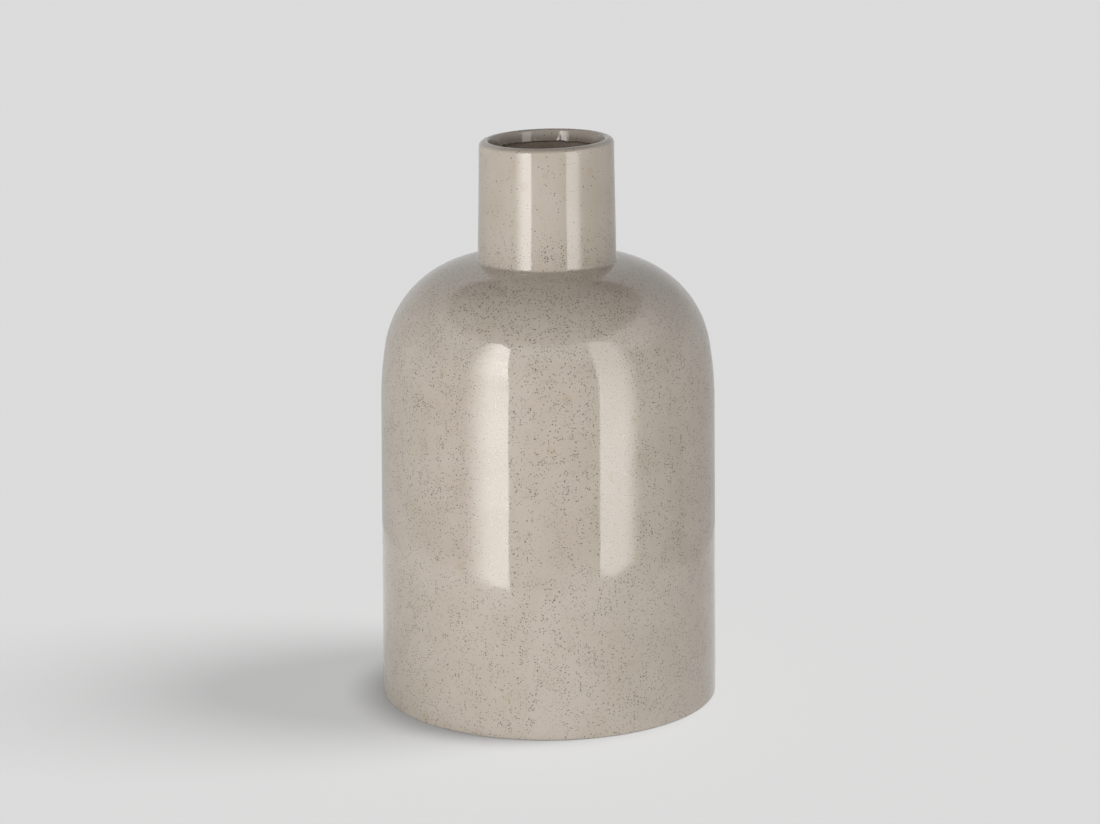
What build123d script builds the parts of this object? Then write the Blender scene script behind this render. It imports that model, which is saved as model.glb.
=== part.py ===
from build123d import *
import os
from math import acos, atan, atan2, cos, radians, sin, sqrt

# Bottle vase in glazed stoneware: an upright body, a quarter-round shoulder and a short neck.
#
# A bottle of this form is thrown in sections and luted. The body section holds the floor and the foot ring,
# the shoulder section drops a tongue into the body's rebate, and the neck section drops a tenon through the
# shoulder's crown. A layer of slip fills both joints, and at the neck's root it is smoothed to a fillet. One
# coat of glossy glaze covers the outside from the foot's rounded edge, goes over the lip and ends a little way
# down the mouth. Foot and inside are bare clay.
#
# Millimetres. +Z is up, and the origin is the centre of the foot, on the surface that the vase stands on.
# Every outline is drawn in (radius, height) and turned about +Z.

# Glazed outside. The wall leans in towards its top, the shoulder still rises where it meets the neck, and the
# neck widens a little towards its root
HEIGHT = 300.0
FOOT_RADIUS = 90.0
WALL_LEAN_IN = 1.5
WALL_TOP_Z = 160.0
LEAD_ARC_RADIUS = 200.0
LEAD_TURN_DEGREES = 9.5
CROWN_RISE_DEGREES = 4.2
NECK_TOP_RADIUS = 35.3
NECK_FLARE = 1.15
NECK_ROOT_FILLET = 1.5
LIP_WIDTH = 4.9
LIP_ROUND = 2.0

# Clay sections
WALL = 5.0
FLOOR = 7.0
FLOOR_FILLET = 8.0
FOOT_ROUND = 1.2
FOOT_RING_WIDTH = 9.0
FOOT_RECESS = 3.0
FOOT_RING_ROUND = 0.8

# Glaze coat
GLAZE = 0.5
GLAZE_IN_MOUTH = 6.2
GLAZE_EDGE_ROUND = 0.3

# Luted joints
SLIP = 0.4
TONGUE_DEPTH = 6.0
TONGUE_WALL_SHARE = 0.5

# A round takes at most this share of the flat that it is cut from
ROUND_LIMIT_SHARE = 0.45

# Ends of edges that lie nearer than this are one point
SAME_POINT = 1e-6

# How far a surface lies inside the glazed outside
GLAZED = 0
CLAY_OUTSIDE = GLAZE
CLAY_INSIDE = GLAZE + WALL


def on_arc(centre, radius, angle):
    """The point of an arc at an angle above the horizon, in radians."""
    return centre + radius * Vector(cos(angle), sin(angle))


def arc(centre, radius, start, end):
    """An arc from one angle to another."""
    return ThreePointArc(*[on_arc(centre, radius, angle) for angle in (start, (start + end) / 2, end)])


# The wall leans in by this angle, and the shoulder's slow first bend starts from it
wall_slope = -WALL_LEAN_IN / WALL_TOP_Z
wall_lean = atan(-wall_slope)
lead_end = radians(LEAD_TURN_DEGREES)
lead_centre = on_arc(Vector(FOOT_RADIUS - WALL_LEAN_IN, WALL_TOP_Z), -LEAD_ARC_RADIUS, wall_lean)

# The shoulder's round leaves the slow bend and meets the neck's root while it still rises
neck_root_radius = NECK_TOP_RADIUS + NECK_FLARE
shoulder_start = on_arc(lead_centre, LEAD_ARC_RADIUS, lead_end)
shoulder_end = radians(90 - CROWN_RISE_DEGREES)
shoulder_radius = (shoulder_start.X - neck_root_radius) / (cos(lead_end) - cos(shoulder_end))
shoulder_centre = on_arc(shoulder_start, -shoulder_radius, lead_end)
crown_top = on_arc(shoulder_centre, shoulder_radius, shoulder_end).Y
neck_slope = -NECK_FLARE / (HEIGHT - crown_top)
neck_lean = atan(-neck_slope)

# The fillet at the neck's root touches the neck and the shoulder's round
neck_upwards = Vector(-sin(neck_lean), cos(neck_lean))
beside_root = on_arc(Vector(neck_root_radius, crown_top), NECK_ROOT_FILLET, neck_lean)
from_shoulder = beside_root - shoulder_centre
from_shoulder_upwards = from_shoulder.dot(neck_upwards)
fillet_reach = shoulder_radius + NECK_ROOT_FILLET
fillet_climb = sqrt(fillet_reach**2 - from_shoulder.length**2 + from_shoulder_upwards**2) - from_shoulder_upwards
fillet_centre = beside_root + fillet_climb * neck_upwards
root_turn = atan2(fillet_centre.Y - shoulder_centre.Y, fillet_centre.X - shoulder_centre.X)


def wall_radius(z, inset):
    """Radius of the body's wall at a height, on the surface that lies inset inside the glazed one."""
    return FOOT_RADIUS + wall_slope * z - inset / cos(wall_lean)


def neck_radius(z, inset):
    """Radius of the neck's outside at a height, on the surface that lies inset inside the glazed one."""
    return neck_root_radius + neck_slope * (z - crown_top) - inset / cos(neck_lean)


def wall_top(inset):
    """Where the straight wall ends and the shoulder's first bend starts."""
    return on_arc(lead_centre, LEAD_ARC_RADIUS - inset, wall_lean)


def turn_at(radius, inset):
    """Angle at which the shoulder's round reaches a radius."""
    return acos((radius - shoulder_centre.X) / (shoulder_radius - inset))


def shoulder_arcs(inset, end):
    """The slow bend and the shoulder's round, from the wall's top to an angle of the round."""
    lead = arc(lead_centre, LEAD_ARC_RADIUS - inset, wall_lean, lead_end)
    quarter_round = arc(shoulder_centre, shoulder_radius - inset, lead_end, end)
    return [lead, quarter_round]


def root_fillet(inset):
    """The hollow round at the neck's root, from the shoulder to the neck."""
    return arc(fillet_centre, -NECK_ROOT_FILLET - inset, root_turn, neck_lean)


def outline(*runs):
    """A face from runs of edges and points, joined in order by straight lines and closed."""
    edges = []
    last = first = None
    for run in runs:
        is_edge = not isinstance(run, (tuple, Vector))
        start = run @ 0 if is_edge else Vector(run)
        if last is None:
            first = start
        elif (start - last).length > SAME_POINT:
            edges.append(Line(last, start))
        if is_edge:
            edges.append(run)
        last = run @ 1 if is_edge else start
    edges.append(Line(last, first))
    return make_face(edges)


def rounded(face, corner, radius):
    """The face with the corner nearest to a point rounded."""
    nearest = face.vertices().sort_by_distance(corner)[0]
    return fillet(nearest, radius)


def turned(face):
    """The solid of revolution of an outline about +Z."""
    return revolve(Plane.XZ * face, Axis.Z)


# Luted joint between body and shoulder: the shoulder's tongue stands inside the body's rebate
seam_top = wall_top(CLAY_OUTSIDE).Y
seam_low = seam_top - SLIP
tongue_radius = wall_radius(seam_top, CLAY_OUTSIDE) - TONGUE_WALL_SHARE * WALL
tongue_low = seam_top - TONGUE_DEPTH
rebate_radius = tongue_radius + SLIP
rebate_low = tongue_low - SLIP

# Luted joint between shoulder and neck: the neck's tenon passes through the crown
mouth_radius = NECK_TOP_RADIUS - LIP_WIDTH
bore_radius = mouth_radius + GLAZE
crown_high = shoulder_centre.Y + shoulder_radius - CLAY_OUTSIDE
neck_foot = crown_high + SLIP
tenon_radius = bore_radius + TONGUE_WALL_SHARE * (neck_radius(neck_foot, CLAY_OUTSIDE) - bore_radius)
socket_radius = tenon_radius + SLIP
socket_turn = turn_at(socket_radius, CLAY_OUTSIDE)
socket_turn_inside = turn_at(socket_radius, CLAY_INSIDE)
tenon_low = on_arc(shoulder_centre, shoulder_radius - CLAY_INSIDE, socket_turn_inside).Y

# The lip's rounds follow its width, in clay and in glaze
lip_z = HEIGHT - GLAZE
lip_outside = (neck_radius(lip_z, CLAY_OUTSIDE), lip_z)
lip_inside = (bore_radius, lip_z)
lip_round = min(LIP_ROUND, ROUND_LIMIT_SHARE * LIP_WIDTH)
lip_round_clay = ROUND_LIMIT_SHARE * (LIP_WIDTH - 2 * GLAZE)
if lip_round - GLAZE > 0:
    lip_round_clay = min(lip_round - GLAZE, lip_round_clay)


def body_section():
    """Floor, foot ring and upright wall, with a rebate in its rim for the shoulder's tongue."""
    foot_corner = (wall_radius(0, CLAY_OUTSIDE), 0)
    ring_inside = wall_radius(0, CLAY_OUTSIDE) - FOOT_ROUND - FOOT_RING_WIDTH
    floor_top = FOOT_RECESS + FLOOR
    floor_corner = (wall_radius(floor_top, CLAY_INSIDE), floor_top)
    face = outline(
        (0, FOOT_RECESS),
        (ring_inside, FOOT_RECESS),
        (ring_inside, 0),
        foot_corner,
        (wall_radius(seam_low, CLAY_OUTSIDE), seam_low),
        (rebate_radius, seam_low),
        (rebate_radius, rebate_low),
        (wall_radius(rebate_low, CLAY_INSIDE), rebate_low),
        floor_corner,
        (0, floor_top),
    )
    face = rounded(face, foot_corner, FOOT_ROUND)
    face = rounded(face, (ring_inside, 0), min(FOOT_RING_ROUND, ROUND_LIMIT_SHARE * FOOT_RECESS))
    face = rounded(face, floor_corner, FLOOR_FILLET)
    return turned(face)


def shoulder_section():
    """Quarter-round shoulder, with a tongue below and a round socket for the neck in its crown."""
    outer_lead, outer_round = shoulder_arcs(CLAY_OUTSIDE, socket_turn)
    inner_lead, inner_round = shoulder_arcs(CLAY_INSIDE, socket_turn_inside)
    face = outline(
        (tongue_radius, seam_top),
        outer_lead,
        outer_round,
        inner_round.reversed(),
        inner_lead.reversed(),
        (wall_radius(tongue_low, CLAY_INSIDE), tongue_low),
        (tongue_radius, tongue_low),
    )
    return turned(face)


def neck_section():
    """Neck tube with a rounded lip, and a tenon that fills the shoulder's socket."""
    face = outline(
        (bore_radius, tenon_low),
        (tenon_radius, tenon_low),
        (tenon_radius, neck_foot),
        (neck_radius(neck_foot, CLAY_OUTSIDE), neck_foot),
        lip_outside,
        lip_inside,
    )
    face = rounded(face, lip_outside, lip_round_clay)
    face = rounded(face, lip_inside, lip_round_clay)
    return turned(face)


def shoulder_slip():
    """Slip that lutes the shoulder's tongue into the body's rebate."""
    face = outline(
        (wall_radius(rebate_low, CLAY_INSIDE), rebate_low),
        (rebate_radius, rebate_low),
        (rebate_radius, seam_low),
        (wall_radius(seam_low, CLAY_OUTSIDE), seam_low),
        wall_top(CLAY_OUTSIDE),
        (tongue_radius, seam_top),
        (tongue_radius, tongue_low),
        (wall_radius(tongue_low, CLAY_INSIDE), tongue_low),
    )
    return turned(face)


def neck_slip():
    """Slip that lutes the neck's tenon into the shoulder's socket and fills the corner at the neck's root."""
    face = outline(
        (tenon_radius, tenon_low),
        (socket_radius, tenon_low),
        arc(shoulder_centre, shoulder_radius - CLAY_OUTSIDE, socket_turn, root_turn),
        root_fillet(CLAY_OUTSIDE),
        (neck_radius(neck_foot, CLAY_OUTSIDE), neck_foot),
        (tenon_radius, neck_foot),
    )
    return turned(face)


def glaze_coat():
    """One coat of glaze from the foot's edge, over shoulder, neck and lip, to a band inside the mouth."""
    foot_edge = (wall_radius(FOOT_ROUND, GLAZED), FOOT_ROUND)
    band_low = HEIGHT - GLAZE_IN_MOUTH
    band_edge = (mouth_radius, band_low)
    outer_lead, outer_round = shoulder_arcs(GLAZED, root_turn)
    inner_lead, inner_round = shoulder_arcs(CLAY_OUTSIDE, root_turn)
    face = outline(
        foot_edge,
        outer_lead,
        outer_round,
        root_fillet(GLAZED),
        (NECK_TOP_RADIUS, HEIGHT),
        (mouth_radius, HEIGHT),
        band_edge,
        (bore_radius, band_low),
        lip_inside,
        lip_outside,
        root_fillet(CLAY_OUTSIDE).reversed(),
        inner_round.reversed(),
        inner_lead.reversed(),
        (wall_radius(FOOT_ROUND, CLAY_OUTSIDE), FOOT_ROUND),
    )
    edge_round = min(GLAZE_EDGE_ROUND, ROUND_LIMIT_SHARE * GLAZE)
    face = rounded(face, (NECK_TOP_RADIUS, HEIGHT), lip_round)
    face = rounded(face, (mouth_radius, HEIGHT), lip_round)
    face = rounded(face, lip_outside, lip_round_clay)
    face = rounded(face, lip_inside, lip_round_clay)
    face = rounded(face, foot_edge, edge_round)
    face = rounded(face, band_edge, edge_round)
    return turned(face)


PIECES = {
    "body_section": body_section,
    "shoulder_section": shoulder_section,
    "neck_section": neck_section,
    "shoulder_slip": shoulder_slip,
    "neck_slip": neck_slip,
    "glaze_coat": glaze_coat,
}

os.makedirs("parts", exist_ok=True)
for name, make in PIECES.items():
    solid = make()
    export_step(solid, f"parts/{name}.step")
    print(f"{name}: {solid.volume:.0f} mm3, valid {solid.is_valid}")
print(f"shoulder radius {shoulder_radius:.2f}, crown at {crown_top:.2f}")
print(f"rebate {rebate_radius:.2f}, tongue {tongue_radius:.2f}, socket {socket_radius:.2f}, tenon {tenon_radius:.2f}")
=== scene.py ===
import math

import bpy
from mathutils import Matrix, Vector, noise


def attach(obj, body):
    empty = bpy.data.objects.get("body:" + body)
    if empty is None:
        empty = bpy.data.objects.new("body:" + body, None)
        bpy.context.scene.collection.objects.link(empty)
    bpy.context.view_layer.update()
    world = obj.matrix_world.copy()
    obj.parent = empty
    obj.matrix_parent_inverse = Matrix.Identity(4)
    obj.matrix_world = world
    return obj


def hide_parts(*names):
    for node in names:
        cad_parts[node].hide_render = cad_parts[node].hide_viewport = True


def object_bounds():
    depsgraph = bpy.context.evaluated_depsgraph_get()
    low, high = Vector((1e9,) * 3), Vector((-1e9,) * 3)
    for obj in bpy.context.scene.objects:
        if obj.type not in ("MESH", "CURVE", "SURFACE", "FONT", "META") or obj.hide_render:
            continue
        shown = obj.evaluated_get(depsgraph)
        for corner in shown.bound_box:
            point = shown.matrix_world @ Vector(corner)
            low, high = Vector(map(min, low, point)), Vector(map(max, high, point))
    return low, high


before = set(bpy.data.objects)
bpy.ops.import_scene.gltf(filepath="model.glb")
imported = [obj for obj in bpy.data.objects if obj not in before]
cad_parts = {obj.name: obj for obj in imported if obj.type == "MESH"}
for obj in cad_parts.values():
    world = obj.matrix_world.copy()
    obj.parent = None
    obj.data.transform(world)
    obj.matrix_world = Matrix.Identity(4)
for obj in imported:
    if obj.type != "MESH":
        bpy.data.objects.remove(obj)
cad_low, cad_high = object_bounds()

MM = 0.001

# Outline of the vase, with the values that the part's source has
HEIGHT = cad_high.z
FOOT_RADIUS = 90 * MM
FOOT_ROUND = 1.2 * MM
WALL_LEAN_IN = 1.5 * MM
WALL_TOP_Z = 160 * MM
LEAD_ARC_RADIUS = 200 * MM
LEAD_TURN = math.radians(9.5)
CROWN_RISE = math.radians(4.2)
NECK_TOP_RADIUS = 35.3 * MM
NECK_FLARE = 1.15 * MM
NECK_ROOT_FILLET = 1.5 * MM
LIP_WIDTH = 4.9 * MM
LIP_ROUND = 2 * MM
GLAZE = 0.5 * MM
GLAZE_IN_MOUTH = 6.2 * MM

# The fired vase is less true than its outline: the glaze laps round the foot's edge, falls off the lip
# in a flatter curve and thickens inside the mouth, and the lip sits a little low and leans to the left
FOOT_LAP = math.radians(32)
LIP_FALL_WIDTH = 3.6 * MM
LIP_FALL_HEIGHT = 2.55 * MM
LIP_INNER_ROUND = 1.2 * MM
MOUTH_TAPER = math.radians(16)
LIP_DROP = 0.16 * MM
LIP_LEAN = 0.0223
LEAN_FROM = 239 * MM

# How finely the coat of glaze is meshed
TURN_STEPS = 360
OUTSIDE_STEP = 1.4 * MM
ROUND_STEP = 0.35 * MM
CLAY_SIDE_STEP = 6 * MM
EDGE_STEPS = 4
LEAST_CURVE_STEPS = 3

# How uneven the fired glaze is
SWELL_LENGTH = 42 * MM
SWELL_HEIGHT = 0.07 * MM
RIPPLE_LENGTH = 13 * MM
RIPPLE_HEIGHT = 0.03 * MM
CALM_NEAR_EDGE = 8 * MM
FOOT_EDGE_WANDER = 0.08 * MM
FOOT_EDGE_LENGTH = 9 * MM
MOUTH_EDGE_WANDER = 0.6 * MM
MOUTH_EDGE_LENGTH = 3.5 * MM
FINE_WANDER_SHARE = 0.5
FINE_WANDER_RATE = 3

# Camera, fitted to the photo's outline
PHOTO_WIDTH = 1100
FOCAL_PIXELS = 3436.554
SENSOR_WIDTH = 36
CAMERA_BACK = 1.773193
CAMERA_UP = 0.596533
CAMERA_PITCH = 0.245222
CAMERA_YAW = 0.000609
CAMERA_ROLL = -0.0057

# The curve between a screen's colours and linear ones
SCREEN_FULL = 255
CURVE_KNEE = 0.04045
CURVE_SLOPE = 12.92
CURVE_OFFSET = 0.055
CURVE_POWER = 2.4


def linear(red, green, blue):
    """A colour as it shows on screen, 0 to 255, as the linear colour that shaders take."""
    colour = []
    for value in (red, green, blue):
        share = value / SCREEN_FULL
        if share <= CURVE_KNEE:
            colour.append(share / CURVE_SLOPE)
        else:
            colour.append(((share + CURVE_OFFSET) / (1 + CURVE_OFFSET)) ** CURVE_POWER)
    return colour + [1.0]


def grey(level):
    return (level, level, level, 1.0)


class Graph:
    """Adds nodes to one material or world, and links them by socket."""

    # Where the Mix node keeps its colour sockets
    MIX_SHARE = 0
    MIX_FIRST = 6
    MIX_SECOND = 7
    MIX_RESULT = 2

    def __init__(self, owner):
        owner.use_nodes = True
        self.tree = owner.node_tree
        self.tree.nodes.clear()

    def add(self, kind, inputs, **settings):
        node = self.tree.nodes.new(kind)
        for name, value in settings.items():
            setattr(node, name, value)
        for key, value in inputs.items():
            if isinstance(value, bpy.types.NodeSocket):
                self.tree.links.new(value, node.inputs[key])
            else:
                node.inputs[key].default_value = value
        return node

    def math(self, operation, first, second=0.0):
        return self.add("ShaderNodeMath", {0: first, 1: second}, operation=operation).outputs[0]

    def mix(self, share, first, second):
        inputs = {self.MIX_SHARE: share, self.MIX_FIRST: first, self.MIX_SECOND: second}
        return self.add("ShaderNodeMix", inputs, data_type="RGBA").outputs[self.MIX_RESULT]

    def ramp(self, value, start, end, low=0.0, high=1.0):
        """A smooth step of value: low before start, high after end."""
        inputs = {"Value": value, "From Min": start, "From Max": end, "To Min": low, "To Max": high}
        return self.add("ShaderNodeMapRange", inputs, interpolation_type="SMOOTHSTEP").outputs["Result"]

    def noise(self, place, length, detail=2.0, output="Fac"):
        inputs = {"Vector": place, "Scale": 1 / length, "Detail": detail}
        return self.add("ShaderNodeTexNoise", inputs).outputs[output]

    def shift(self, place, offset):
        return self.add("ShaderNodeVectorMath", {0: place, 1: offset}, operation="ADD").outputs["Vector"]

    def object_place(self):
        return self.add("ShaderNodeTexCoord", {}).outputs["Object"]

    def axes(self, vector):
        return self.add("ShaderNodeSeparateXYZ", {"Vector": vector}).outputs


# Outline and mesh of the glaze


def straight(start, end, step):
    """Stations (radius, height, normal) along a line, without its last point.

    The normal points to the right of the way along it, out of the coat.
    """
    run = (end[0] - start[0], end[1] - start[1])
    length = math.hypot(*run)
    count = max(1, round(length / step))
    normal = (run[1] / length, -run[0] / length)
    shares = [index / count for index in range(count)]
    return [(start[0] + run[0] * share, start[1] + run[1] * share, *normal) for share in shares]


def curve(centre, radius, start, end, step, hollow=False):
    """Stations along an arc between two angles, without its last point."""
    count = max(LEAST_CURVE_STEPS, round(abs(end - start) * radius / step))
    side = -1 if hollow else 1
    stations = []
    for index in range(count):
        angle = start + (end - start) * index / count
        across = math.cos(angle)
        up = math.sin(angle)
        stations.append((centre[0] + radius * across, centre[1] + radius * up, side * across, side * up))
    return stations


def falling_curve(centre, width, height, step):
    """Stations along a quarter of an ellipse, from its side up to its top, without its last point."""
    count = max(LEAST_CURVE_STEPS, round(math.pi / 4 * (width + height) / step))
    stations = []
    for index in range(count):
        angle = math.pi / 2 * index / count
        across = math.cos(angle)
        up = math.sin(angle)
        size = math.hypot(across / width, up / height)
        normal = (across / width / size, up / height / size)
        stations.append((centre[0] + width * across, centre[1] + height * up, *normal))
    return stations


def outline(inset, step, round_step):
    """Stations from the foot's edge over wall, shoulder, neck and lip to the edge inside the mouth.

    The inset is 0 for the outside, which has the fired lip, and the glaze's thickness for the clay side.
    """
    lean = math.atan(WALL_LEAN_IN / WALL_TOP_Z)
    quarter = math.pi / 2
    wall_top = (FOOT_RADIUS - WALL_LEAN_IN, WALL_TOP_Z)
    lead_centre = (
        wall_top[0] - LEAD_ARC_RADIUS * math.cos(lean),
        wall_top[1] - LEAD_ARC_RADIUS * math.sin(lean),
    )
    lead_end = (
        lead_centre[0] + LEAD_ARC_RADIUS * math.cos(LEAD_TURN),
        lead_centre[1] + LEAD_ARC_RADIUS * math.sin(LEAD_TURN),
    )
    root_radius = NECK_TOP_RADIUS + NECK_FLARE
    shoulder_radius = (lead_end[0] - root_radius) / (math.cos(LEAD_TURN) - math.sin(CROWN_RISE))
    shoulder_centre = (
        lead_end[0] - shoulder_radius * math.cos(LEAD_TURN),
        lead_end[1] - shoulder_radius * math.sin(LEAD_TURN),
    )

    foot_centre = (FOOT_RADIUS - GLAZE - FOOT_ROUND, FOOT_ROUND)
    foot_round = FOOT_ROUND + GLAZE - inset
    foot = (foot_centre[0] + foot_round, FOOT_ROUND)
    wall_end = (wall_top[0] - inset * math.cos(lean), wall_top[1] - inset * math.sin(lean))
    fillet_reach = shoulder_radius + NECK_ROOT_FILLET
    root_turn = math.acos((root_radius + NECK_ROOT_FILLET - shoulder_centre[0]) / fillet_reach)
    fillet_height = shoulder_centre[1] + fillet_reach * math.sin(root_turn)
    fillet_centre = (root_radius + NECK_ROOT_FILLET, fillet_height)
    fillet_round = NECK_ROOT_FILLET + inset
    neck_start = (root_radius - inset, fillet_height)
    fall_width = LIP_ROUND if inset else LIP_FALL_WIDTH
    fall_height = LIP_ROUND if inset else LIP_FALL_HEIGHT
    inner_round = LIP_ROUND if inset else LIP_INNER_ROUND
    neck_end = (NECK_TOP_RADIUS - inset, HEIGHT - fall_height)
    lip_out = (NECK_TOP_RADIUS - fall_width, HEIGHT - fall_height)
    lip_in = (NECK_TOP_RADIUS - LIP_WIDTH + inner_round, HEIGHT - inner_round)
    taper = 0 if inset else MOUTH_TAPER
    lip_round = inner_round - inset
    mouth_top = (lip_in[0] - lip_round * math.cos(taper), lip_in[1] + lip_round * math.sin(taper))
    mouth_low_z = HEIGHT - GLAZE_IN_MOUTH
    mouth_low = (mouth_top[0] - (mouth_top[1] - mouth_low_z) * math.tan(taper), mouth_low_z)

    stations = curve(foot_centre, foot_round, -FOOT_LAP, 0, round_step)
    stations += straight(foot, wall_end, step)
    stations += curve(lead_centre, LEAD_ARC_RADIUS - inset, lean, LEAD_TURN, step)
    stations += curve(shoulder_centre, shoulder_radius - inset, LEAD_TURN, root_turn, step)
    stations += curve(fillet_centre, fillet_round, root_turn + math.pi, math.pi, round_step, hollow=True)
    stations += straight(neck_start, neck_end, step)
    stations += falling_curve(lip_out, fall_width - inset, fall_height - inset, round_step)
    stations += straight((lip_out[0], HEIGHT - inset), (lip_in[0], HEIGHT - inset), round_step)
    stations += curve(lip_in, lip_round, quarter, 2 * quarter - taper, round_step)
    stations += straight(mouth_top, mouth_low, round_step)
    stations.append((*mouth_low, -math.cos(taper), math.sin(taper)))
    return stations


def ease(value, start, end):
    """A smooth step from 0 at start to 1 at end."""
    share = min(1.0, max(0.0, (value - start) / (end - start)))
    return share * share * (3 - 2 * share)


def edge_round(station, clay_station, steps):
    """Stations of the rounded edge where the coat ends on the clay, from one side of it to the other."""
    middle = ((station[0] + clay_station[0]) / 2, (station[1] + clay_station[1]) / 2)
    half = (station[0] - middle[0], station[1] - middle[1])
    ahead = (half[1], -half[0]) if station[2] < 0 else (-half[1], half[0])
    stations = []
    for index in range(1, steps):
        angle = math.pi * index / steps
        across = math.cos(angle)
        out = math.sin(angle)
        normal = (half[0] * across + ahead[0] * out, half[1] * across + ahead[1] * out)
        size = math.hypot(*normal)
        place = (middle[0] + normal[0], middle[1] + normal[1])
        stations.append((*place, normal[0] / size, normal[1] / size))
    return stations


def glaze_stations():
    """One closed outline of the coat, with the share of unevenness at each station."""
    outside = outline(0, OUTSIDE_STEP, ROUND_STEP)
    clay_side = outline(GLAZE, CLAY_SIDE_STEP, ROUND_STEP)
    mouth_edge = edge_round(outside[-1], clay_side[-1], EDGE_STEPS)
    foot_edge = edge_round(clay_side[0], outside[0], EDGE_STEPS)
    bed = [(station, 0.0) for station in mouth_edge + clay_side[::-1] + foot_edge]
    uneven = []
    for station in outside:
        above_foot = ease(station[1], FOOT_ROUND, FOOT_ROUND + CALM_NEAR_EDGE)
        below_lip = 1 - ease(station[1], HEIGHT - CALM_NEAR_EDGE, HEIGHT - LIP_ROUND)
        uneven.append((station, above_foot * below_lip))
    return uneven + bed


def wander(turn, length, radius):
    """An uneven line round the vase, from about -1 to 1, that closes on itself."""
    place = Vector((math.cos(turn), math.sin(turn), 0)) * radius / length
    return noise.noise(place) + FINE_WANDER_SHARE * noise.noise(place * FINE_WANDER_RATE)


def unevenness(place):
    swell = noise.noise(place / SWELL_LENGTH) * SWELL_HEIGHT
    return swell + noise.noise(place / RIPPLE_LENGTH) * RIPPLE_HEIGHT


def lip_shift(place):
    """How far the low and leaning lip lifts or lowers a place on the neck."""
    share = min(1.0, max(0.0, (place.z - LEAN_FROM) / (HEIGHT - LEAN_FROM)))
    return (LIP_LEAN * place.x - LIP_DROP) * share


def glaze_place(station, share, turn, foot_drop, mouth_drop):
    """Where a station's point is at one angle round the vase."""
    radius, height, across, up = station
    flat = Vector((math.cos(turn), math.sin(turn), 0))
    place = flat * radius + Vector((0, 0, height))
    if share:
        place += (flat * across + Vector((0, 0, up))) * unevenness(place) * share
    near_foot = 1 - ease(height, 0, CALM_NEAR_EDGE)
    in_mouth = radius < NECK_TOP_RADIUS - LIP_WIDTH + LIP_ROUND
    near_end = 1 - ease(height, HEIGHT - GLAZE_IN_MOUTH, HEIGHT - LIP_ROUND) if in_mouth else 0.0
    place.z += foot_drop * near_foot + mouth_drop * near_end
    place.z += lip_shift(place)
    return place


def make_glaze():
    stations = glaze_stations()
    count = len(stations)
    points = []
    for step in range(TURN_STEPS):
        turn = 2 * math.pi * step / TURN_STEPS
        foot_drop = FOOT_EDGE_WANDER * wander(turn, FOOT_EDGE_LENGTH, FOOT_RADIUS)
        mouth_drop = MOUTH_EDGE_WANDER * wander(turn, MOUTH_EDGE_LENGTH, NECK_TOP_RADIUS)
        points += [glaze_place(station, share, turn, foot_drop, mouth_drop) for station, share in stations]
    faces = []
    for step in range(TURN_STEPS):
        here = step * count
        there = (step + 1) % TURN_STEPS * count
        for index in range(count):
            after = (index + 1) % count
            faces.append((here + index, there + index, there + after, here + after))
    mesh = bpy.data.meshes.new("glaze")
    mesh.from_pydata(points, [], faces)
    mesh.polygons.foreach_set("use_smooth", [True] * len(faces))
    mesh.validate()
    piece = bpy.data.objects.new("glaze", mesh)
    bpy.context.scene.collection.objects.link(piece)
    return piece


def make_neck_clay():
    """The neck section with its low and leaning lip."""
    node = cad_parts["neck_section"]
    mesh = node.data.copy()
    mesh.transform(node.matrix_world)
    mesh.materials.clear()
    for vertex in mesh.vertices:
        vertex.co.z += lip_shift(vertex.co)
    piece = bpy.data.objects.new("neck_clay", mesh)
    bpy.context.scene.collection.objects.link(piece)
    return piece


# Materials

# Stretches of a noise's values that become a smooth step
NARROW_STRETCH = (0.35, 0.65)
WIDE_STRETCH = (0.3, 0.7)

# Tones of the glaze: mottle, grain, warm stains, and painted shade inside the mouth
GLAZE_PALE = linear(197, 186, 174)
GLAZE_DEEP = linear(191, 180, 166)
GLAZE_WARM = linear(182, 167, 140)
# Colour of the painted shade inside the mouth
GLAZE_MOUTH_SHADE = linear(150, 138, 122)
MOTTLE_LENGTH = 26 * MM
MOTTLE_DETAIL = 4.0
GRAIN_LENGTH = 1.1 * MM
GRAIN_DETAIL = 3.0
GRAIN_SHARE = 0.25
STAIN_SPACING = 11 * MM
STAIN_RADIUS = 3.5 * MM
STAIN_KEPT = 0.35
STAIN_SHARE = 0.35
STAIN_OFFSET = (0.2, 0.6, 0.5)
# Painted shade inside the mouth: how far below the lip it reaches, where it starts, and how strong it is
MOUTH_SHADE_DEPTH = 5.5 * MM
MOUTH_SHADE_START = 1.5 * MM
MOUTH_SHADE_SHARE = 0.9

# Specks: bold and fine ones, in clusters, denser on the shoulder and sparse on the neck
SPECK_BROWN = linear(36, 30, 25)
SPECK_TAN = linear(84, 74, 61)
SPECK_SHEEN = (1.0, 0.92, 0.83, 1.0)
CLUSTER_LENGTH = 8 * MM
CLUSTER_DETAIL = 3.0
CLUSTER_SHARES = (0.15, 0.85)
SHOULDER_STRETCH = (165 * MM, 215 * MM)
SHOULDER_RATE = 1.8
NECK_STRETCH = (234 * MM, 262 * MM)
NECK_RATE = 0.14
RAGGED_LENGTH = 0.6 * MM
RAGGED_DETAIL = 1.0
RAGGED_PUSH = 0.35 * MM
BOLD_SPACING = 1.0 * MM
BOLD_RADIUS = 0.38 * MM
BOLD_OFFSET = (0.1, 0.2, 0.3)
BOLD_SHARE = 0.95
FINE_SPACING = 0.6 * MM
FINE_RADIUS = 0.2 * MM
FINE_OFFSET = (0.4, 0.1, 0.7)
FINE_SHARE = 0.8
SMALLEST_SPECK_SHARE = 0.45
SOLID_SPECK_SHARE = 0.75
PALEST_SPECK_SHARE = 0.7

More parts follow.
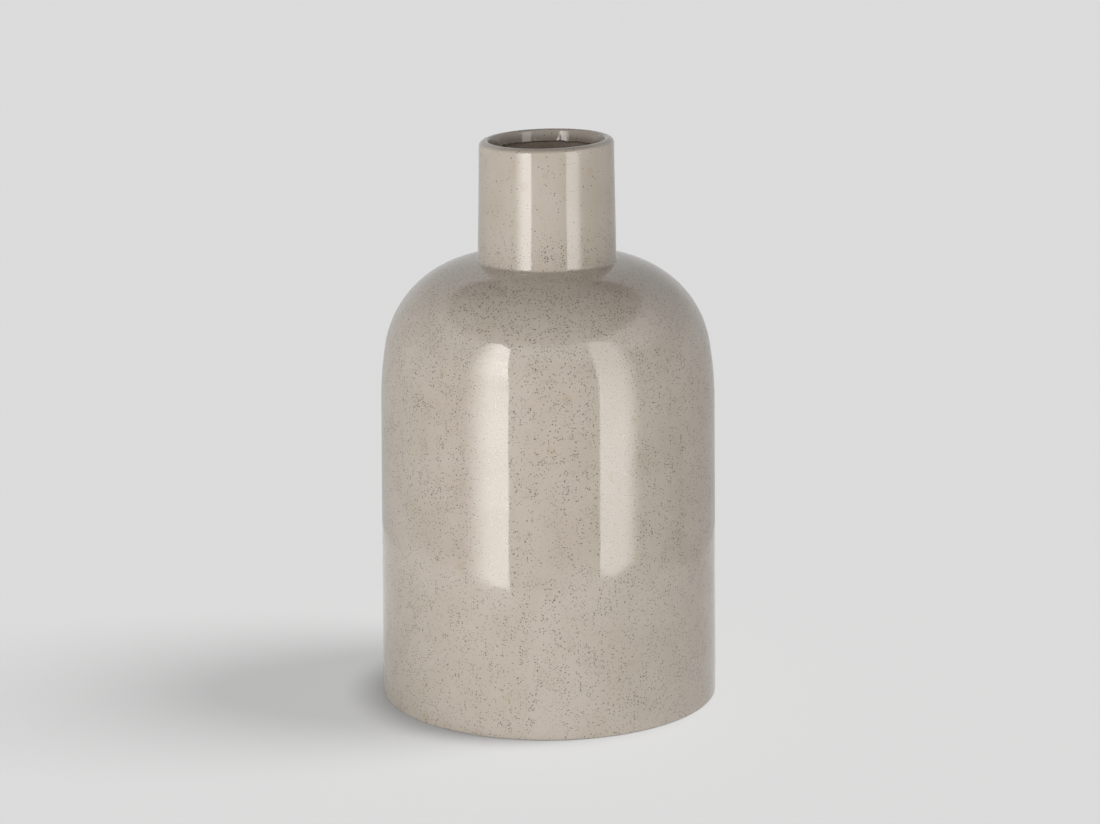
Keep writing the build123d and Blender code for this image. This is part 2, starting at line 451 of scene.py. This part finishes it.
# Gloss of the glaze
GLAZE_IOR = 1.5
SPECK_IOR = 2.15
SKIN_LENGTH = 3.5 * MM
SKIN_DETAIL = 1.0
SKIN_HEIGHT = 0.008 * MM
GLOSS_LENGTH = 6 * MM
GLOSS_ROUGHNESS = (0.05, 0.09)

# Bare clay and slip: tones, throwing lines, grit and patches
STONEWARE_PALE = linear(160, 146, 132)
STONEWARE_DEEP = linear(134, 121, 108)
STONEWARE_GROOVE = 0.08 * MM
SLIP_PALE = linear(155, 142, 128)
SLIP_DEEP = linear(134, 122, 109)
SLIP_GROOVE = 0.03 * MM
LINE_SPACING = 4.5 * MM
LINE_SWAY = 6 * MM
LINE_SWAY_LENGTH = 40 * MM
GRIT_LENGTH = 0.8 * MM
GRIT_HEIGHT = 0.15 * MM
PATCH_LENGTH = 18 * MM
PATCH_SHARE = 0.6
CLAY_DETAIL = 3.0
CLAY_ROUGHNESS = 0.85


def speck_layer(graph, place, spacing, radius, share, offset):
    """A mask of round specks, with one candidate in each cell of that spacing, kept by share."""
    shifted = graph.shift(place, offset)
    cells = graph.add("ShaderNodeTexVoronoi", {"Vector": shifted, "Scale": 1 / spacing})
    chance = graph.add("ShaderNodeSeparateColor", {"Color": cells.outputs["Color"]}).outputs
    largest = radius / spacing
    size = graph.ramp(chance["Green"], 0.0, 1.0, SMALLEST_SPECK_SHARE * largest, largest)
    reach = graph.math("DIVIDE", cells.outputs["Distance"], size)
    spot = graph.ramp(reach, SOLID_SPECK_SHARE, 1.0, 1.0, 0.0)
    kept = graph.math("LESS_THAN", chance["Red"], share)
    strength = graph.ramp(chance["Blue"], 0.0, 1.0, PALEST_SPECK_SHARE, 1.0)
    return graph.math("MULTIPLY", graph.math("MULTIPLY", spot, kept), strength)


def speck_share(graph, place, height):
    """How many of the candidates become specks at a place."""
    cluster_noise = graph.noise(place, CLUSTER_LENGTH, CLUSTER_DETAIL)
    cluster = graph.ramp(cluster_noise, *NARROW_STRETCH, *CLUSTER_SHARES)
    on_shoulder = graph.ramp(height, *SHOULDER_STRETCH, 1.0, SHOULDER_RATE)
    on_neck = graph.ramp(height, *NECK_STRETCH, 1.0, NECK_RATE)
    return graph.math("MULTIPLY", cluster, graph.math("MULTIPLY", on_shoulder, on_neck))


def ragged_place(graph, place):
    """The place pushed about a little, so that specks have uneven edges."""
    ragged = graph.noise(place, RAGGED_LENGTH, RAGGED_DETAIL, "Color")
    push = graph.add("ShaderNodeVectorMath", {0: ragged, "Scale": RAGGED_PUSH}, operation="SCALE")
    return graph.shift(place, push.outputs["Vector"])


def painted_mouth_shade(graph, place, height):
    """A mask of painted shade inside the mouth, which deepens downwards."""
    flat = graph.add("ShaderNodeVectorMath", {0: place, 1: (1, 1, 0)}, operation="MULTIPLY")
    length = graph.add("ShaderNodeVectorMath", {0: flat.outputs["Vector"]}, operation="LENGTH")
    in_mouth = graph.math("LESS_THAN", length.outputs["Value"], NECK_TOP_RADIUS - LIP_FALL_WIDTH)
    depth = graph.ramp(height, HEIGHT - MOUTH_SHADE_DEPTH, HEIGHT - MOUTH_SHADE_START, MOUTH_SHADE_SHARE, 0.0)
    return graph.math("MULTIPLY", in_mouth, depth)


def make_glaze_material():
    material = bpy.data.materials.new("speckled_glaze")
    graph = Graph(material)
    place = graph.object_place()
    height = graph.axes(place)["Z"]

    mottle = graph.ramp(graph.noise(place, MOTTLE_LENGTH, MOTTLE_DETAIL), *NARROW_STRETCH)
    grain = graph.ramp(graph.noise(place, GRAIN_LENGTH, GRAIN_DETAIL), *WIDE_STRETCH)
    tint = graph.mix(mottle, GLAZE_DEEP, GLAZE_PALE)
    tint = graph.mix(graph.math("MULTIPLY", grain, GRAIN_SHARE), tint, GLAZE_DEEP)

    share = speck_share(graph, place, height)
    rough_place = ragged_place(graph, place)
    bold = speck_layer(graph, rough_place, BOLD_SPACING, BOLD_RADIUS, share, BOLD_OFFSET)
    fine = speck_layer(graph, rough_place, FINE_SPACING, FINE_RADIUS, share, FINE_OFFSET)
    stain = speck_layer(graph, place, STAIN_SPACING, STAIN_RADIUS, STAIN_KEPT, STAIN_OFFSET)
    # Painted shade inside the mouth, darker towards the lower edge of the glaze
    mouth_shade = painted_mouth_shade(graph, place, height)

    colour = graph.mix(graph.math("MULTIPLY", stain, STAIN_SHARE), tint, GLAZE_WARM)
    colour = graph.mix(mouth_shade, colour, GLAZE_MOUTH_SHADE)
    colour = graph.mix(graph.math("MULTIPLY", fine, FINE_SHARE), colour, SPECK_TAN)
    colour = graph.mix(graph.math("MULTIPLY", bold, BOLD_SHARE), colour, SPECK_BROWN)

    speck = graph.math("MAXIMUM", bold, fine)
    shine = graph.math("ADD", graph.math("MULTIPLY", speck, SPECK_IOR - GLAZE_IOR), GLAZE_IOR)
    sheen = graph.mix(speck, grey(1.0), SPECK_SHEEN)
    skin = graph.math("MULTIPLY", graph.noise(place, SKIN_LENGTH, SKIN_DETAIL), SKIN_HEIGHT)
    bump = graph.add("ShaderNodeBump", {"Height": skin, "Distance": 1.0})
    gloss = graph.ramp(graph.noise(place, GLOSS_LENGTH), *WIDE_STRETCH, *GLOSS_ROUGHNESS)
    shader = graph.add(
        "ShaderNodeBsdfPrincipled",
        {
            "Base Color": colour,
            "Roughness": gloss,
            "IOR": shine,
            "Specular Tint": sheen,
            "Normal": bump.outputs["Normal"],
        },
    )
    graph.add("ShaderNodeOutputMaterial", {"Surface": shader.outputs["BSDF"]})
    return material


def make_clay_material(name, pale, deep, groove):
    """Bare fired clay: matte, grainy, with the potter's throwing lines round the axis."""
    material = bpy.data.materials.new(name)
    graph = Graph(material)
    place = graph.object_place()
    sway = graph.math("MULTIPLY", graph.noise(place, LINE_SWAY_LENGTH), LINE_SWAY)
    height = graph.math("ADD", graph.axes(place)["Z"], sway)
    line = graph.math("SINE", graph.math("MULTIPLY", height, 2 * math.pi / LINE_SPACING))
    grit = graph.noise(place, GRIT_LENGTH, CLAY_DETAIL)
    patch = graph.noise(place, PATCH_LENGTH, CLAY_DETAIL)
    patch_tone = graph.math("MULTIPLY", patch, PATCH_SHARE)
    tone = graph.math("ADD", patch_tone, graph.math("MULTIPLY", grit, 1 - PATCH_SHARE))
    colour = graph.mix(graph.ramp(tone, *NARROW_STRETCH), deep, pale)
    grooves = graph.math("MULTIPLY", line, groove)
    relief = graph.math("ADD", grooves, graph.math("MULTIPLY", grit, GRIT_HEIGHT))
    bump = graph.add("ShaderNodeBump", {"Height": relief, "Distance": 1.0})
    shader = graph.add(
        "ShaderNodeBsdfPrincipled",
        {"Base Color": colour, "Roughness": CLAY_ROUGHNESS, "Normal": bump.outputs["Normal"]},
    )
    graph.add("ShaderNodeOutputMaterial", {"Surface": shader.outputs["BSDF"]})
    return material


def dress(node, material):
    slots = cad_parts[node].material_slots
    for slot in slots:
        slot.material = material


# Floor, lights and camera

# Edge of the floor that the vase reflects, chosen to lie where the photo shows it: azimuths and distances
# between which it swings smoothly. Azimuths are in degrees, 0 on the camera's side and positive to the right
FLOOR_EDGE_POINTS = [
    (-180, 0.35),
    (-115, 0.36),
    (-90, 0.395),
    (-62, 0.388),
    (-28, 0.37),
    (12, 0.372),
    (30, 0.405),
    (40, 0.39),
    (56, 0.408),
    (92, 0.367),
    (110, 0.34),
    (180, 0.35),
]
FLOOR_EDGE_DEGREES = 2
FLOOR_FAR = 8.0
FLOOR_GLOW = 0.207
FLOOR_PAINT = 0.3

# Soft lamps: their side, and the height on the vase's axis that they point at
LAMP_SIZE = 0.9
LAMP_AIM = 0.15

# Reflected lamps: tall strips with a round top. The left one's inner edge is bevelled, and the right one's
# inner edge has a ledge, above which it is a little wider
STRIP_DISTANCE = 0.5
STRIP_BOTTOM = -0.6
STRIP_STEPS = 16
LEFT_INNER = -24.6
LEFT_BEVEL_END = -27.7
LEFT_MIDDLE = -38.4
LEFT_OUTER = -57.0
LEFT_TOP = 0.564
LEFT_SIDE_TOP = 0.2
RIGHT_INNER = 31.0
RIGHT_LEDGE_END = 32.1
RIGHT_FULL_START = 32.2
RIGHT_OUTER = 63.0
RIGHT_TOP = 0.595
RIGHT_SIDE_TOP = 0.25
RIGHT_LEDGE = 0.25

# Light of the studio's walls and ceiling. A stretch is of one axis of the direction looked in
BACKGROUND_LEVEL = 0.716
CEILING_LEVEL = 0.08
FRONT_WALL_LEVEL = 0.3
BACK_WALL_LEVEL = 0.75
BACK_STRETCH = (-0.2, 0.6)
LIT_CEILING_STRETCH = (0.26, 0.56)
LOWEST_WALL_SHARE = 0.7
LOWEST_WALL_STRETCH = (-0.25, 0.1)
UPPER_WALL_STRETCH = (0.28, 0.5)
UPPER_SIDE_LEVELS = (0.95, 1.45)
UPPER_SIDE_STRETCH = (-0.4, 0.7)
UPPER_BACK_LEVEL = 0.8
CEILING_EDGE = 0.68
CEILING_SLOPE = 0.05
CEILING_EDGE_STRETCH = (-0.05, 0.04)


def around(azimuth, distance, height):
    """A place round the vase. Azimuth 0 is the camera's side and grows to the right."""
    turn = math.radians(azimuth)
    return Vector((distance * math.sin(turn), -distance * math.cos(turn), height))


def make_flat(name, points, faces):
    mesh = bpy.data.meshes.new(name)
    mesh.from_pydata(points, [], faces)
    flat = bpy.data.objects.new(name, mesh)
    bpy.context.scene.collection.objects.link(flat)
    return flat


def near_edge():
    """Places along the edge of the floor that the vase reflects."""
    places = []
    pairs = zip(FLOOR_EDGE_POINTS, FLOOR_EDGE_POINTS[1:])
    for (start, start_distance), (end, end_distance) in pairs:
        for azimuth in range(start, end, FLOOR_EDGE_DEGREES):
            swing = (end_distance - start_distance) * ease(azimuth, start, end)
            places.append(around(azimuth, start_distance + swing, 0))
    return places


def make_floor():
    """A plain floor in two parts, of which the vase reflects only the near one."""
    material = bpy.data.materials.new("floor")
    graph = Graph(material)
    paint = graph.add("ShaderNodeBsdfDiffuse", {"Color": grey(FLOOR_PAINT)})
    glow = graph.add("ShaderNodeEmission", {"Color": grey(1.0), "Strength": FLOOR_GLOW})
    both = graph.add("ShaderNodeAddShader", {0: paint.outputs[0], 1: glow.outputs[0]})
    graph.add("ShaderNodeOutputMaterial", {"Surface": both.outputs[0]})
    edge = near_edge()
    rim = [place.normalized() * FLOOR_FAR for place in edge]
    count = len(edge)
    near = make_flat("floor_near", edge, [range(count)])
    sides = [(step, count + step, count + (step + 1) % count, (step + 1) % count) for step in range(count)]
    far = make_flat("floor_far", edge + rim, sides)
    far.visible_glossy = False
    for ring in (near, far):
        ring.data.materials.append(material)
    return [near, far]


def round_topped(start, middle, outer, side_top, top):
    """Columns (azimuth, bottom, top) of a strip whose top falls along an ellipse from its middle."""
    columns = []
    for step in range(STRIP_STEPS + 1):
        azimuth = start + (outer - start) * step / STRIP_STEPS
        share = (azimuth - middle) / (outer - middle)
        rise = math.sqrt(max(0.0, 1 - share * share))
        columns.append((azimuth, STRIP_BOTTOM, side_top + (top - side_top) * rise))
    return columns


def left_columns():
    bevel = [(LEFT_INNER, STRIP_BOTTOM, LEFT_SIDE_TOP)]
    return bevel + round_topped(LEFT_BEVEL_END, LEFT_MIDDLE, LEFT_OUTER, LEFT_SIDE_TOP, LEFT_TOP)


def right_columns():
    ledge = [(azimuth, RIGHT_LEDGE, RIGHT_TOP) for azimuth in (RIGHT_INNER, RIGHT_LEDGE_END)]
    return ledge + round_topped(RIGHT_FULL_START, RIGHT_INNER, RIGHT_OUTER, RIGHT_SIDE_TOP, RIGHT_TOP)


def make_strip(name, columns, fade_start, low, high):
    """A tall lamp that only reflections see.

    It fades to its outer edge from a share of its width, and low and high are (height, strength).
    """
    points = []
    for azimuth, bottom, top in columns:
        points += [around(azimuth, STRIP_DISTANCE, bottom), around(azimuth, STRIP_DISTANCE, top)]
    faces = [(2 * step, 2 * step + 2, 2 * step + 3, 2 * step + 1) for step in range(len(columns) - 1)]
    strip = make_flat(name, points, faces)
    inner = columns[0][0]
    outer = columns[-1][0]
    layer = strip.data.uv_layers.new(name="across")
    for loop, corner in zip(strip.data.loops, layer.data):
        azimuth = columns[loop.vertex_index // 2][0]
        corner.uv = ((azimuth - inner) / (outer - inner), 0)
    material = bpy.data.materials.new(name)
    graph = Graph(material)
    coordinates = graph.add("ShaderNodeTexCoord", {}).outputs
    across = graph.axes(coordinates["UV"])["X"]
    up = graph.axes(coordinates["Object"])["Z"]
    strength = graph.ramp(up, low[0], high[0], low[1], high[1])
    fade = graph.ramp(across, fade_start, 1.0, strength, 0.0)
    glow = graph.add("ShaderNodeEmission", {"Color": grey(1.0), "Strength": fade})
    graph.add("ShaderNodeOutputMaterial", {"Surface": glow.outputs[0]})
    strip.data.materials.append(material)
    strip.visible_camera = False
    strip.visible_diffuse = False
    strip.visible_shadow = False


def light_only(lamp, name, objects):
    """Lets a lamp light only these objects."""
    group = bpy.data.collections.new(name)
    for member in objects:
        group.objects.link(member)
    lamp.light_linking.receiver_collection = group


def make_lamp(name, azimuth, distance, height, power, receivers):
    """A square soft lamp that reflections don't see."""
    data = bpy.data.lights.new(name, "AREA")
    data.size = LAMP_SIZE
    data.energy = power
    lamp = bpy.data.objects.new(name, data)
    lamp.location = around(azimuth, distance, height)
    towards = Vector((0, 0, LAMP_AIM)) - lamp.location
    lamp.rotation_euler = towards.to_track_quat("-Z", "Y").to_euler()
    lamp.visible_glossy = False
    lamp.visible_camera = False
    bpy.context.scene.collection.objects.link(lamp)
    light_only(lamp, name + "_lights", receivers)


def make_sun(name, azimuth, elevation, width, energy, receivers):
    """A far lamp whose width, in degrees, softens the shadow that the vase casts."""
    data = bpy.data.lights.new(name, "SUN")
    data.energy = energy
    data.angle = math.radians(width)
    lamp = bpy.data.objects.new(name, data)
    rise = math.radians(elevation)
    source = around(azimuth, math.cos(rise), math.sin(rise))
    lamp.rotation_euler = (-source).to_track_quat("-Z", "Y").to_euler()
    bpy.context.scene.collection.objects.link(lamp)
    light_only(lamp, name + "_lights", receivers)


def make_world():
    """Pale where the camera looks, and elsewhere a studio with a dark ceiling.

    Reflections see the walls reach higher, with a bright upper part.
    """
    world = bpy.data.worlds.new("studio")
    bpy.context.scene.world = world
    graph = Graph(world)
    direction = graph.axes(graph.add("ShaderNodeTexCoord", {}).outputs["Generated"])
    rays = graph.add("ShaderNodeLightPath", {}).outputs
    to_back = graph.ramp(direction["Y"], *BACK_STRETCH)
    wall = graph.ramp(to_back, 0.0, 1.0, FRONT_WALL_LEVEL, BACK_WALL_LEVEL)
    below_ceiling = graph.ramp(direction["Z"], *LIT_CEILING_STRETCH, 1.0, 0.0)
    lit = graph.ramp(below_ceiling, 0.0, 1.0, CEILING_LEVEL, wall)
    upper_side = graph.ramp(direction["X"], *UPPER_SIDE_STRETCH, *UPPER_SIDE_LEVELS)
    upper_wall = graph.ramp(to_back, 0.0, 1.0, upper_side, UPPER_BACK_LEVEL)
    fall_off = graph.ramp(direction["Z"], *LOWEST_WALL_STRETCH, LOWEST_WALL_SHARE, 1.0)
    lower_wall = graph.math("MULTIPLY", wall, fall_off)
    whole_wall = graph.ramp(direction["Z"], *UPPER_WALL_STRETCH, lower_wall, upper_wall)
    ceiling_edge = graph.math("ADD", graph.math("MULTIPLY", direction["X"], CEILING_SLOPE), CEILING_EDGE)
    over_edge = graph.math("SUBTRACT", direction["Z"], ceiling_edge)
    mirrored = graph.ramp(over_edge, *CEILING_EDGE_STRETCH, whole_wall, CEILING_LEVEL)
    studio = graph.ramp(rays["Is Glossy Ray"], 0.0, 1.0, lit, mirrored)
    level = graph.ramp(rays["Is Camera Ray"], 0.0, 1.0, studio, BACKGROUND_LEVEL)
    background = graph.add("ShaderNodeBackground", {"Color": grey(1.0), "Strength": level})
    graph.add("ShaderNodeOutputWorld", {"Surface": background.outputs[0]})


def make_camera():
    data = bpy.data.cameras.new("camera")
    data.sensor_width = SENSOR_WIDTH
    data.lens = FOCAL_PIXELS * SENSOR_WIDTH / PHOTO_WIDTH
    camera = bpy.data.objects.new("camera", data)
    tilt = Matrix.Rotation(math.pi / 2 - CAMERA_PITCH, 4, "X")
    turn = Matrix.Rotation(-CAMERA_YAW, 4, "Z") @ tilt @ Matrix.Rotation(CAMERA_ROLL, 4, "Z")
    camera.matrix_world = Matrix.Translation((0, -CAMERA_BACK, CAMERA_UP)) @ turn
    bpy.context.scene.collection.objects.link(camera)
    bpy.context.scene.camera = camera


glaze = make_glaze()
glaze.data.materials.append(make_glaze_material())
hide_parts("glaze_coat")
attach(glaze, "root")

neck_clay = make_neck_clay()
stoneware = make_clay_material("bare_stoneware", STONEWARE_PALE, STONEWARE_DEEP, STONEWARE_GROOVE)
slip = make_clay_material("fired_slip", SLIP_PALE, SLIP_DEEP, SLIP_GROOVE)
neck_clay.data.materials.append(stoneware)
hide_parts("neck_section")
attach(neck_clay, "root")
for section in ("body_section", "shoulder_section"):
    dress(section, stoneware)
for layer_name in ("shoulder_slip", "neck_slip"):
    dress(layer_name, slip)

floors = make_floor()
vase = [glaze, neck_clay]
vase += [node for name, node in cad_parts.items() if name not in ("glaze_coat", "neck_section")]
make_strip("strip_left", left_columns(), fade_start=0.28, low=(0.2, 5.8), high=(0.28, 7.4))
make_strip("strip_right", right_columns(), fade_start=0.48, low=(0.05, 4.8), high=(0.35, 3.3))
make_lamp("lamp_front", azimuth=-2, distance=1.0, height=0.35, power=5.6, receivers=vase)
make_lamp("lamp_front_left", azimuth=-35, distance=1.0, height=0.25, power=1.5, receivers=vase)
make_lamp("lamp_left", azimuth=-80, distance=1.6, height=0.35, power=3.7, receivers=vase)
make_sun("sun_right", azimuth=92, elevation=50, width=30, energy=3.15, receivers=floors)
make_sun("sun_top", azimuth=115, elevation=86, width=9, energy=2.4, receivers=floors)
make_world()
make_camera()
bpy.context.scene.view_settings.view_transform = "Standard"
